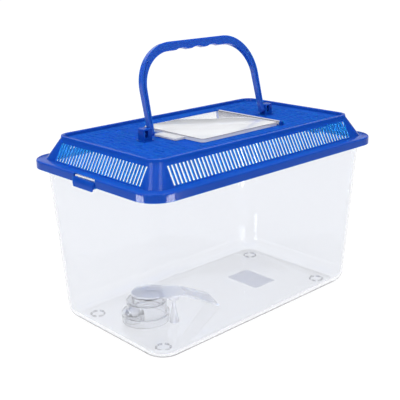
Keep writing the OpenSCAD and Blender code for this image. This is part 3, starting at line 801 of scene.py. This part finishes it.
# %% [markdown]
# ## The feeding door
# The door is a shallow clear tray, upside down over the hole. It is a shell with round corners,
# lofted down the inside and up the outside, and it is a little flatter than the solid one. A
# narrow slope runs round its top.

# %% Build the feeding door
door_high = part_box("feeding_door")[1]
door_x0, door_x1 = -52.0, 50.0
door_y0, door_y1 = -45.0, 39.0
door_top = panel_z + 3.2
door_wall, door_corner, door_line = 1.6, 4.5, 0.6
door_centre = ((door_x0 + door_x1) / 2, (door_y0 + door_y1) / 2)
lift = 0.05


def door_ring(inset, z):
    """A ring of the door, brought in from its side."""
    return rounded_ring((door_x1 - door_x0) / 2 - inset, (door_y1 - door_y0) / 2 - inset,
                        door_corner - inset, z, 8, door_centre)


door = to_object("door_panel", loft([
    door_ring(door_wall, door_top - door_wall), door_ring(door_wall, panel_z + lift),
    door_ring(0, panel_z + lift), door_ring(0, door_top - door_line / 2),
    door_ring(door_line, door_top)]))
print("this door's top is", round(door_high.z / mm - door_top, 1), "mm below the solid one's")

# %% [markdown]
# A finger tab at one end lifts the door. A round barrel at the other ends in two thin pins that
# snap into the ears of the lid. The slope round the top gets a painted dark line: a dark plastic
# stands in for the shade that such an edge shows where it bends the view away from the bright
# table.

# %% Add the finger tab, the barrel and the pins
finger_y0, finger_y1, finger_x0, finger_corner = -22.0, 8.0, -64.0, 2
finger_low, finger_top, finger_sunk = panel_z + 0.4, panel_z + 2.2, 0.8
quarter_turn = [math.radians(15 * i) for i in range(7)]
finger_outline = [(finger_x0 + finger_corner - finger_corner * math.sin(a),
                   finger_y1 - finger_corner + finger_corner * math.cos(a)) for a in quarter_turn]
finger_outline += [(finger_x0 + finger_corner - finger_corner * math.cos(a),
                    finger_y0 + finger_corner - finger_corner * math.sin(a)) for a in quarter_turn]
finger_outline += [(door_x0 + finger_sunk, finger_y0), (door_x0 + finger_sunk, finger_y1)]
combine(door, slab(finger_outline, finger_low, finger_top), "UNION")
barrel_radius, barrel_reach, door_pin_radius, door_pin_reach = 1.9, -0.3, 1.2, 2.3
for radius, reach in ((barrel_radius, barrel_reach), (door_pin_radius, door_pin_reach)):
    combine(door, rod((hinge_x, door_y0 - reach, hinge_z), (hinge_x, door_y1 + reach, hinge_z),
                      radius), "UNION")
dress(door, "door", "feeding_door", door_clear, 0.15)
door.data.materials.append(painted_dark_edge)
for face in door.data.polygons:
    leans = 0.2 < face.normal.z < 0.95
    face.material_index = int(leans and abs(face.center.z / mm - door_top) < door_line / 2)
print("faces in the dark line:", sum(face.material_index for face in door.data.polygons))

# %% [markdown]
# ## The handle
# The handle is a flat hoop with soft edges. Its outline is drawn as points: straight legs, two
# big corner arcs, and three shallow hollows under the grip for the fingers. The outline is then
# drawn out to the thickness of the hoop.

# %% Build the handle
handle_half, handle_reach, handle_thick = 76.0, 79.0, 5.0
corner_radius, inner_radius = 41.0, 34.05
grip_depth, leg_top, leg_foot = 8.5, 5.4, 4.2
finger_pitch, finger_radius, finger_depth = 20.0, 19.7, 1.5
handle_lean = math.radians(14)
outer_x, arc_height = handle_half - corner_radius, handle_reach - corner_radius
inner_x = handle_half - leg_top - inner_radius
inner_height = handle_reach - grip_depth - inner_radius
leg_end = 0.0
grip_under = handle_reach - grip_depth
hollow_height = grip_under + finger_depth - finger_radius
hollow_reach = math.degrees(math.acos((grip_under - hollow_height) / finger_radius))


def arc(cx, cy, radius, start, end, steps):
    """Points of an arc, from one angle to another, in degrees."""
    return [(cx + radius * math.cos(math.radians(start + (end - start) * i / steps)),
             cy + radius * math.sin(math.radians(start + (end - start) * i / steps)))
            for i in range(steps + 1)]


half_outline = [(handle_half, leg_end)] + arc(outer_x, arc_height, corner_radius, 0, 90, 28)
outer_side = half_outline + [(-x, y) for x, y in reversed(half_outline)]
under_side = [(leg_foot - handle_half, leg_end)]
under_side += arc(-inner_x, inner_height, inner_radius, 180, 90, 26)
for k in (-1, 0, 1):
    under_side += arc(k * finger_pitch, hollow_height, finger_radius,
                      90 + hollow_reach, 90 - hollow_reach, 10)
under_side += arc(inner_x, inner_height, inner_radius, 90, 0, 26)
under_side += [(handle_half - leg_foot, leg_end)]
hoop_outline = outer_side + under_side
handle = to_object("handle_hoop", loft([
    [(x, t, z) for x, z in hoop_outline] for t in (-handle_thick / 2, handle_thick / 2)]))
print("finger hollows turn", round(2 * hollow_reach), "degrees each")

# %% [markdown]
# Each leg has a round end, with a pin that turns in its lug. A shallow groove runs up each face of
# a leg and part of the way round the bend: it saves plastic and keeps the thick leg from sinking.
# The hoop is built upright, then leaned over its pins, and a bevel rounds its edges.

# %% Add the round ends, the pins and the grooves
end_radius, pin_radius, pin_start, pin_short = 2.9, 2.2, handle_half - 1, 0.2
for side in (-1, 1):
    for x0, x1, radius in ((handle_half - leg_foot, handle_half, end_radius),
                           (pin_start, pin_end - pin_short, pin_radius)):
        combine(handle, rod((side * x0, 0, 0), (side * x1, 0, 0), radius), "UNION")
grooves = bmesh.new()
groove_outer, groove_inner, groove_low, groove_turn, groove_deep = 1.7, 3.3, 8.0, 42, 0.9
groove = [(handle_half - groove_outer, groove_low)]
groove += arc(outer_x, arc_height, corner_radius - groove_outer, 0, groove_turn, 14)
groove += reversed(arc(outer_x, arc_height, corner_radius - groove_inner, 0, groove_turn, 14))
groove += [(handle_half - groove_inner, groove_low)]
for side in (-1, 1):
    for face_y in (-handle_thick / 2, handle_thick / 2):
        loft([[(side * x, face_y + d, z) for x, z in groove]
              for d in (-groove_deep, groove_deep)], grooves)
combine(handle, grooves, "DIFFERENCE")
to_pivot = Matrix.Translation((0, 0, pivot_z * mm))
handle.data.transform(to_pivot @ Matrix.Rotation(-handle_lean, 4, "X"))
dress(handle, "handle", "handle", handle_blue_painted_lighter, 0.4, segments=3)

# %% [markdown]
# ## The island's mound
# The island is a loose clear moulding where an animal can climb out of the water. Its mound has
# three round steps and a rock on one side, and it is hollow below. It is turned like a pot: rings
# down the outside, then rings up the inside. The steps move a little towards the deck's post.

# %% Build the mound
deck_under = 30.0
island_wall = 1.6
step_turn = math.radians(59)
step_way = (math.cos(step_turn), -math.sin(step_turn))
mound_centre = (-84.0, 5.0)
mound_radius, step_in, step_shift, deck_gap = 23.0, 3.75, 1.4, 0.2
step_tops = (floor_z + 8, floor_z + 20.5, deck_under)
last_step = len(step_tops) - 1


def along_way(distance):
    """The flat point at a distance from the mound's centre, on the way to the deck's post."""
    return mound_centre[0] + distance * step_way[0], mound_centre[1] + distance * step_way[1]


def step_ring(k, drawn_in, z):
    """A ring of the mound's step k, brought in from its side."""
    return circle_ring(mound_radius - k * step_in - drawn_in, z, along_way(k * step_shift))


outer_steps, inner_steps = [], []
bottom = floor_z + lift
for k, top in enumerate(step_tops):
    outer_steps += [step_ring(k, 0, bottom),
                    step_ring(k, 0, top - deck_gap * (k == last_step))]
    inner_steps += [step_ring(k, island_wall, bottom - island_wall * (k > 0)),
                    step_ring(k, island_wall, top - island_wall)]
    bottom = top
mound = to_object("island_mound", loft(list(reversed(outer_steps)) + inner_steps))
rock_centre, rock_radius, rock_z, rock_steps = (-96.0, 9.0), 8.0, 10.2, 10
rock_rings = [circle_ring(rock_radius, floor_z + lift, rock_centre)]
for i in range(rock_steps):
    a = math.radians(90 * i / rock_steps)
    rock_rings.append(circle_ring(rock_radius * math.cos(a),
                                  rock_z + rock_radius * math.sin(a), rock_centre))
combine(mound, loft(rock_rings), "UNION")
combine(mound, loft([circle_ring(rock_radius - island_wall, floor_z - 1, rock_centre),
                     circle_ring(rock_radius - island_wall, rock_z, rock_centre)]), "DIFFERENCE")
dress(mound, "island", "island_base", island_clear, 0.5, segments=3)

# %% [markdown]
# ## The island's deck and ramp
# A second clear moulding lies on the mound: a deck, a post that holds its outer end, and a ramp
# that runs down to the floor. The deck is the smallest flat outline round the mound's top, the
# post and the head of the ramp. The post is a cone that narrows to a thin neck under a round cap.

# %% Build the deck and the post
deck_top = deck_under + 2.0
post_radius, neck_radius, neck_low, neck_high = 5.25, 2.2, floor_z + 16, deck_under - 3
post_centre = along_way(mound_radius + 0.9 + post_radius)
top_centre = along_way(last_step * step_shift)
top_radius = mound_radius - last_step * step_in
cap_radius = post_radius + 0.6
ramp_x, ramp_y = post_centre[0] + cap_radius, post_centre[1] - cap_radius
ramp_run, ramp_skew, top_width, tip_width, twist = 47.0, 9.0, 18.0, 25.0, 1.5


def hull_outline(points):
    """The smallest outward outline round a set of flat points."""
    points = sorted(set(points))

    def half(chain):
        out = []
        for p in chain:
            while len(out) > 1 and ((out[-1][0] - out[-2][0]) * (p[1] - out[-2][1])
                                    - (out[-1][1] - out[-2][1]) * (p[0] - out[-2][0])) <= 0:
                out.pop()
            out.append(p)
        return out[:-1]
    return half(points) + half(list(reversed(points)))


def flat_circle(centre, radius):
    """A circle as flat points."""
    return [(x, y) for x, y, z in circle_ring(radius, 0, centre)]


deck_points = flat_circle(top_centre, top_radius) + flat_circle(post_centre, cap_radius)
deck_points += [(ramp_x, ramp_y), (ramp_x + ramp_skew, ramp_y + top_width), (ramp_x - 1, ramp_y)]
ramp_piece = to_object("island_ramp_deck", slab(hull_outline(deck_points), deck_under, deck_top))
post_profile = ((post_radius, floor_z + lift), (neck_radius, neck_low), (neck_radius, neck_high),
                (post_radius, neck_high), (post_radius, deck_under + 0.5))
combine(ramp_piece, loft([circle_ring(radius, z, post_centre) for radius, z in post_profile]),
        "UNION")
print("the deck is", round(deck_top - deck_under, 1), "mm thick, and the post is",
      2 * post_radius, "mm wide at its foot")

# %% [markdown]
# The ramp is a loft along its run. Every second section stands higher, which leaves treads that
# give wet feet a grip. It widens and twists a little towards its tip, and its head is sunk into
# the deck, so that the boolean joins the two cleanly.

# %% Add the ramp
tread_pitch, tread_rise, ramp_thick, ramp_drop = 4.4, 0.8, 2.0, deck_under - floor_z - lift
section_count = 2 * int(ramp_run / tread_pitch)
sections = []
for i in range(-1, section_count + 1):
    u = max(i, 0) / section_count
    root = 1.0 if i < 0 else 0.0
    rise = tread_rise if i % 2 == 1 and i > 0 else 0.0
    near_z = deck_under - ramp_drop * u + 0.5 * root
    far_z = deck_under - (ramp_drop - twist) * u + 0.5 * root
    thick = ramp_thick + rise - root
    near = (ramp_x + ramp_run * u - root, ramp_y + 0.5 * root)
    far = (ramp_x + ramp_skew + ramp_run * u - root,
           ramp_y + top_width + (tip_width - top_width) * u - root)
    sections.append([(*near, near_z), (*far, far_z),
                     (*far, far_z + thick), (*near, near_z + thick)])
combine(ramp_piece, loft(sections), "UNION")
dress(ramp_piece, "island", "island_ramp", ramp_clear, 0.25)
